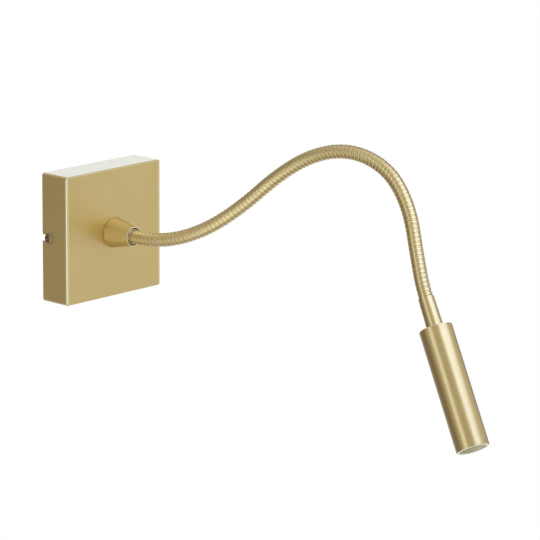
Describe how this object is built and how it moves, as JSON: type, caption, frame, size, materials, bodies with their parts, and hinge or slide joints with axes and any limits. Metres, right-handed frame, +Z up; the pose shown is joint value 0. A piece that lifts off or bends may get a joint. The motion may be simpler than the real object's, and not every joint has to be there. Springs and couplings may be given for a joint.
{
  "type": "led wall light",
  "caption": "Wall light with a square box base, a bendable ribbed gooseneck and a slim tubular spot head in satin gold metal; the neck is bent by hand to aim the light.",
  "frame": {"origin": "on the wall plane, midway between the two wall-screw slots, behind the middle of the base", "axes": "+X to the right for someone facing the wall, +Y into the wall, +Z up; the light reaches out along -Y"},
  "size_m": [0.1128, 0.3844, 0.2018],
  "materials": {
    "gold_sheet": "satin",
    "gold_turned": "satin",
    "gold_wound": "satin",
    "zinc_steel": "satin",
    "bronzed_steel": "satin",
    "brass": "satin",
    "black_rubber": "matte",
    "white_plastic": "matte",
    "grey_foam": "matte",
    "green_laminate": "satin",
    "yellow_tape": "satin",
    "black_plastic": "satin",
    "brown_wire": "satin",
    "blue_wire": "satin",
    "green_wire": "satin",
    "red_wire": "satin",
    "plain_aluminium": "satin",
    "white_aluminium": "matte",
    "phosphor": "satin",
    "clear_plastic": "gloss"
  },
  "bodies": {
    "base": {"base_cover": "gold_sheet", "wall_bracket": "zinc_steel", "side_screws": "bronzed_steel", "neck_cone": "gold_turned", "neck_stud": "brass", "lock_washer": "zinc_steel", "stud_nut": "brass", "cable_bush": "black_rubber", "terminal_block": "white_plastic", "terminal_sleeves": "brass", "terminal_screws": "zinc_steel", "live_wire": "brown_wire", "neutral_wire": "blue_wire", "earth_wire": "green_wire", "earth_lug": "brass", "earth_washer": "zinc_steel", "earth_screw": "zinc_steel", "driver_case": "white_plastic", "driver_lid": "white_plastic", "driver_pad": "grey_foam", "driver_board": "green_laminate", "driver_transformer": "yellow_tape", "driver_capacitors": "black_plastic", "driver_lead": "black_plastic", "neck_section_01": "gold_wound"},
    "neck_02": {"neck_section_02": "gold_wound", "lead_section_02": "black_plastic"},
    "neck_03": {"neck_section_03": "gold_wound", "lead_section_03": "black_plastic"},
    "neck_04": {"neck_section_04": "gold_wound", "lead_section_04": "black_plastic"},
    "neck_05": {"neck_section_05": "gold_wound", "lead_section_05": "black_plastic"},
    "neck_06": {"neck_section_06": "gold_wound", "lead_section_06": "black_plastic"},
    "neck_07": {"neck_section_07": "gold_wound", "lead_section_07": "black_plastic"},
    "neck_08": {"neck_section_08": "gold_wound", "lead_section_08": "black_plastic"},
    "neck_09": {"neck_section_09": "gold_wound", "lead_section_09": "black_plastic"},
    "neck_10": {"neck_section_10": "gold_wound", "lead_section_10": "black_plastic"},
    "head": {"neck_section_11": "gold_wound", "lead_section_11": "black_plastic", "neck_end_sleeve": "brass", "head_ferrule": "gold_turned", "ferrule_grub_screw": "bronzed_steel", "head_tube": "gold_turned", "head_nut": "brass", "heat_sink": "plain_aluminium", "led_board": "white_aluminium", "led_emitter": "phosphor", "board_screws": "zinc_steel", "lens_holder": "white_plastic", "lens": "clear_plastic", "lens_ring": "gold_turned", "led_wires": "red_wire"}
  },
  "joints": [
    {"name": "neck_swing_1", "type": "hinge", "parent": "base", "child": "neck_02", "pos_m": [0.00113, -0.06585, 0.00038], "axis": [-0.0057, 0.0432, 0.999], "range_deg": [-24, 24]},
    {"name": "neck_lift_1", "type": "hinge", "parent": "neck_02", "child": "neck_03", "pos_m": [0.00913, -0.09849, 0.00757], "axis": [-0.9367, -0.3502, 0], "range_deg": [-24, 19]},
    {"name": "neck_swing_2", "type": "hinge", "parent": "neck_03", "child": "neck_04", "pos_m": [0.02119, -0.12621, 0.02418], "axis": [-0.2668, 0.5237, 0.809], "range_deg": [-24, 24]},
    {"name": "neck_lift_2", "type": "hinge", "parent": "neck_04", "child": "neck_05", "pos_m": [0.03287, -0.15009, 0.04629], "axis": [-0.9063, -0.4226, 0], "range_deg": [-24, 24]},
    {"name": "neck_swing_3", "type": "hinge", "parent": "neck_05", "child": "neck_06", "pos_m": [0.0423, -0.17539, 0.06783], "axis": [-0.1568, 0.5292, 0.8339], "range_deg": [-24, 24]},
    {"name": "neck_lift_3", "type": "hinge", "parent": "neck_06", "child": "neck_07", "pos_m": [0.04955, -0.20609, 0.08156], "axis": [-0.9833, -0.1822, 0], "range_deg": [-11, 24]},
    {"name": "neck_swing_4", "type": "hinge", "parent": "neck_07", "child": "neck_08", "pos_m": [0.0549, -0.23985, 0.08052], "axis": [0.0382, -0.2899, 0.9563], "range_deg": [-24, 24]},
    {"name": "neck_lift_4", "type": "hinge", "parent": "neck_08", "child": "neck_09", "pos_m": [0.0551, -0.26878, 0.06242], "axis": [-0.9863, 0.165, 0], "range_deg": [-16, 24]},
    {"name": "neck_swing_5", "type": "hinge", "parent": "neck_09", "child": "neck_10", "pos_m": [0.04788, -0.28869, 0.03523], "axis": [-0.4542, -0.6994, 0.5519], "range_deg": [-24, 24]},
    {"name": "neck_lift_5", "type": "hinge", "parent": "neck_10", "child": "head", "pos_m": [0.03803, -0.3049, 0.00629], "axis": [-0.8704, 0.4924, 0], "range_deg": [-24, 24]}
  ]
}
